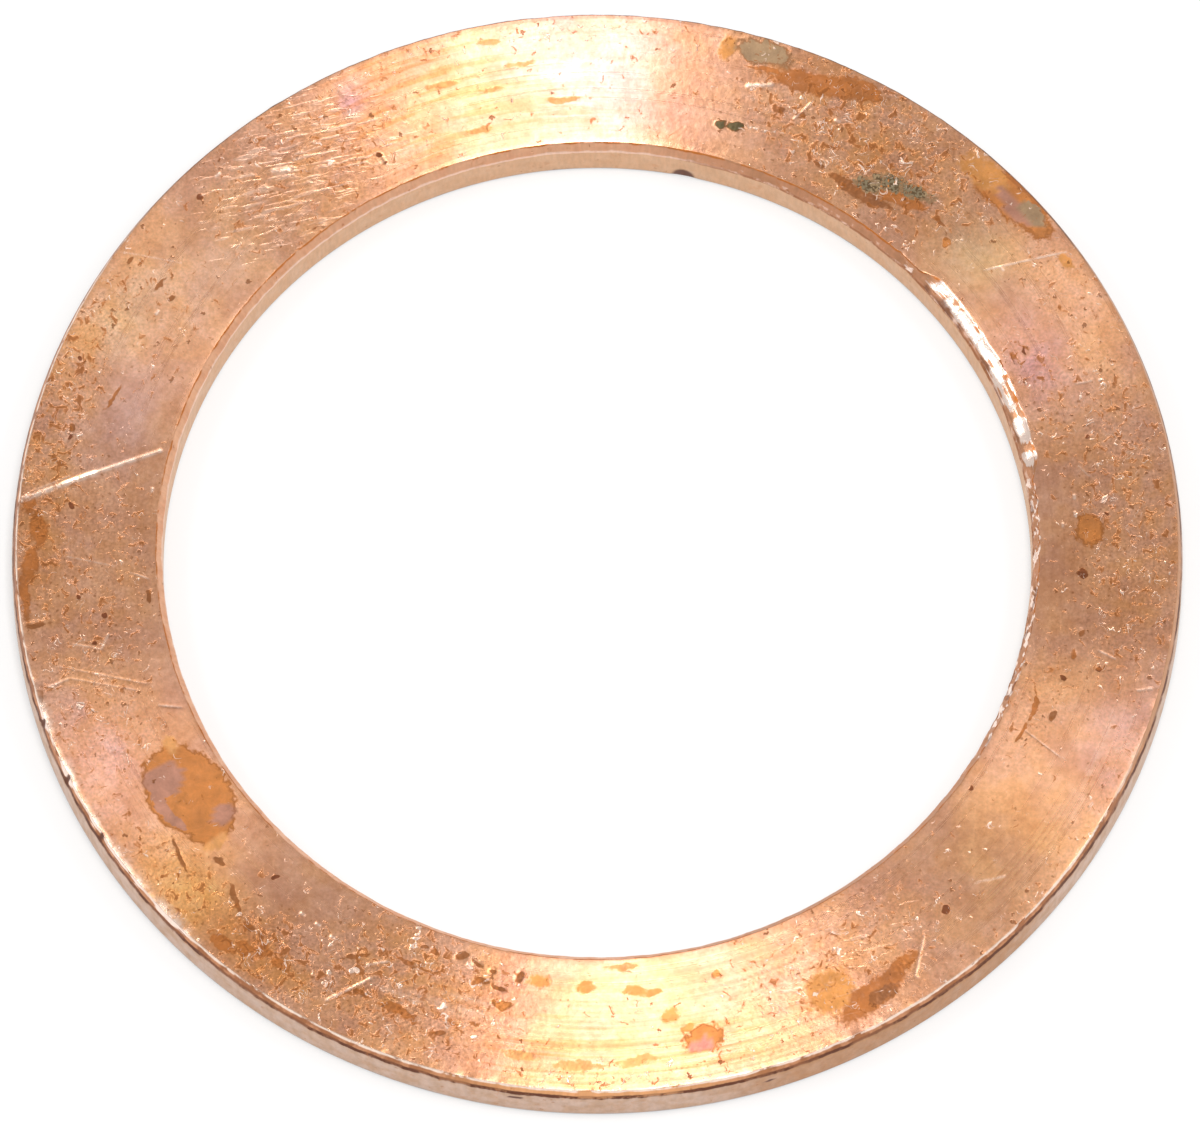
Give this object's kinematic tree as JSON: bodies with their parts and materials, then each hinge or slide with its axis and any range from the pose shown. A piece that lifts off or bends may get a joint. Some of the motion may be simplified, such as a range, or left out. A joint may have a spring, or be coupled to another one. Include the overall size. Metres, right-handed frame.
{
  "type": "flat washer",
  "caption": "Flat copper sealing washer: one plain ring with bevelled upper edges, a clearance bore and two flat sealing faces.",
  "frame": {"origin": "centre of the bore, on the plane of the underside that the washer lies on", "axes": "+Z along the bore axis, from the underside to the bevelled upper face; X and Y lie in the underside, and the ring is the same all round"},
  "size_m": [0.0348, 0.0348, 0.0016],
  "materials": {
    "copper": "satin, turned grain, lightly tarnished"
  },
  "bodies": {
    "root": {"washer": "copper"}
  },
  "joints": []
}
